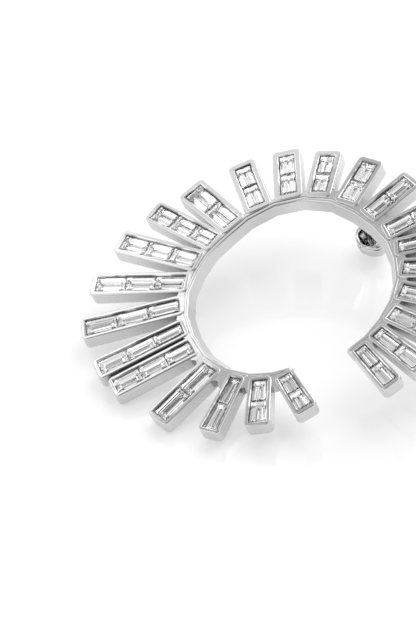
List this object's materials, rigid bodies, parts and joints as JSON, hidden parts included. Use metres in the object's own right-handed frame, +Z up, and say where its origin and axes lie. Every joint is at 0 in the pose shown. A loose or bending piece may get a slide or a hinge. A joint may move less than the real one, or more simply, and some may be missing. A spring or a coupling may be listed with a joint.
{
  "type": "stud earring",
  "caption": "Open C-shaped sunburst stud earring: a band of box bezels fanning outwards, each set with a row of clear baguettes, with a soldered post and a scroll ear nut.",
  "frame": {"origin": "on the surface it rests on, below the middle of its bounding box", "axes": "+Z up from the surface; the front view looks along +Y; the bezels' rims face up and lean back towards the viewer's left"},
  "size_m": [0.0464, 0.0398, 0.0122],
  "materials": {
    "metal": "high polish, rhodium plated",
    "stone": "polished facets, clear"
  },
  "bodies": {
    "earring": {"frame": "metal", "baguette_01_1": "stone", "baguette_01_2": "stone", "baguette_02_1": "stone", "baguette_02_2": "stone", "baguette_03_1": "stone", "baguette_03_2": "stone", "baguette_04_1": "stone", "baguette_04_2": "stone", "baguette_05_1": "stone", "baguette_05_2": "stone", "baguette_05_3": "stone", "baguette_06_1": "stone", "baguette_06_2": "stone", "baguette_06_3": "stone", "baguette_07_1": "stone", "baguette_07_2": "stone", "baguette_07_3": "stone", "baguette_08_1": "stone", "baguette_08_2": "stone", "baguette_08_3": "stone", "baguette_09_1": "stone", "baguette_09_2": "stone", "baguette_09_3": "stone", "baguette_10_1": "stone", "baguette_10_2": "stone", "baguette_10_3": "stone", "baguette_11_1": "stone", "baguette_11_2": "stone", "baguette_12_1": "stone", "baguette_12_2": "stone", "baguette_13_1": "stone", "baguette_13_2": "stone", "baguette_14_1": "stone", "baguette_14_2": "stone", "baguette_15_1": "stone", "baguette_15_2": "stone", "baguette_16_1": "stone", "baguette_16_2": "stone", "baguette_17_1": "stone", "baguette_17_2": "stone", "baguette_18_1": "stone", "baguette_18_2": "stone", "baguette_19_1": "stone", "baguette_19_2": "stone", "baguette_20_1": "stone", "baguette_20_2": "stone", "baguette_21_1": "stone", "baguette_21_2": "stone", "baguette_22_1": "stone", "baguette_22_2": "stone", "baguette_23_1": "stone", "baguette_23_2": "stone"},
    "nut": {"ear_nut": "metal"}
  },
  "joints": [
    {"name": "nut_slide", "type": "slide", "parent": "earring", "child": "nut", "axis": [0.1877, 0.1487, -0.9709], "range_m": [-0.0054, 0.0031]}
  ]
}
